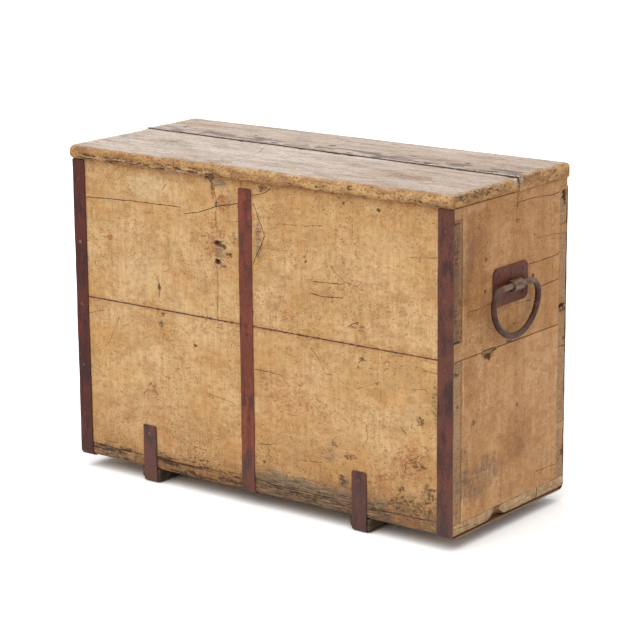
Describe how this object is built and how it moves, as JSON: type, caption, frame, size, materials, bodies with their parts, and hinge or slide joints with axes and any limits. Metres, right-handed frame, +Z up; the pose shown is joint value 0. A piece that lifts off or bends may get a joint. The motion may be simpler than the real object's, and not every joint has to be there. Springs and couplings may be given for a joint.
{
  "type": "iron-bound storage chest",
  "caption": "Painted plank storage chest with dovetailed corners, wrought iron bands, iron-shod skids, drop ring handles on its ends and a hinged plank lid.",
  "frame": {"origin": "on the floor, under the middle of the whole chest's box", "axes": "+Z up, +X to the right of someone facing the front and along the chest's length, the front faces -Y"},
  "size_m": [0.7894, 0.329, 0.5465],
  "materials": {
    "front_paint": "old ochre paint on pine, scratched and grimy",
    "end_paint": "old brown-ochre paint on pine, rubbed and stained",
    "lid_wood": "weathered bare pine, grey on top with paint left on its edges",
    "bare_wood": "raw pine, darkened by age",
    "band_iron": "wrought iron strap under worn red-brown oxide paint",
    "forged_iron": "forged iron, brown patina, rubbed grey where held",
    "hinge_iron": "wrought iron, dark rust patina",
    "nail_iron": "forged nails, dark rust"
  },
  "bodies": {
    "chest": {"front_board_lower": "front_paint", "front_board_upper": "front_paint", "back_board_lower": "front_paint", "back_board_upper": "front_paint", "bottom_board_front": "front_paint", "bottom_board_rear": "front_paint", "left_end_lower": "end_paint", "left_end_upper": "end_paint", "right_end_lower": "end_paint", "right_end_upper": "end_paint", "skid_left": "bare_wood", "skid_right": "bare_wood", "band_left": "band_iron", "band_middle": "band_iron", "band_right": "band_iron", "foot_band_left": "band_iron", "foot_band_right": "band_iron", "handle_plate_left": "band_iron", "handle_plate_right": "band_iron", "handle_staple_left": "forged_iron", "handle_staple_right": "forged_iron", "handle_washer_left": "forged_iron", "handle_washer_right": "forged_iron", "hinge_back_leaf_left": "hinge_iron", "hinge_back_leaf_right": "hinge_iron", "hinge_pin_left": "hinge_iron", "hinge_pin_right": "hinge_iron", "band_nails": "nail_iron", "foot_band_nails": "nail_iron", "handle_plate_nails": "nail_iron", "hinge_leaf_nails": "nail_iron"},
    "lid": {"lid_front_plank": "lid_wood", "lid_rear_plank": "lid_wood", "lid_batten_left": "bare_wood", "lid_batten_right": "bare_wood", "lid_seam_batten": "bare_wood", "hinge_strap_left": "hinge_iron", "hinge_strap_right": "hinge_iron", "hinge_strap_nails": "nail_iron", "lid_nails": "nail_iron"},
    "handle_left": {"handle_ring_left": "forged_iron"},
    "handle_right": {"handle_ring_right": "forged_iron"}
  },
  "joints": [
    {"name": "lid_hinge", "type": "hinge", "parent": "chest", "child": "lid", "pos_m": [0, 0.1595, 0.5171], "axis": [-1, 0, 0], "range_deg": [0, 105]},
    {"name": "left_handle_swing", "type": "hinge", "parent": "chest", "child": "handle_left", "pos_m": [-0.386, -0.007, 0.3855], "axis": [0, 1, 0], "range_deg": [-4, 180]},
    {"name": "right_handle_swing", "type": "hinge", "parent": "chest", "child": "handle_right", "pos_m": [0.386, -0.007, 0.3855], "axis": [0, -1, 0], "range_deg": [-4, 180]}
  ]
}
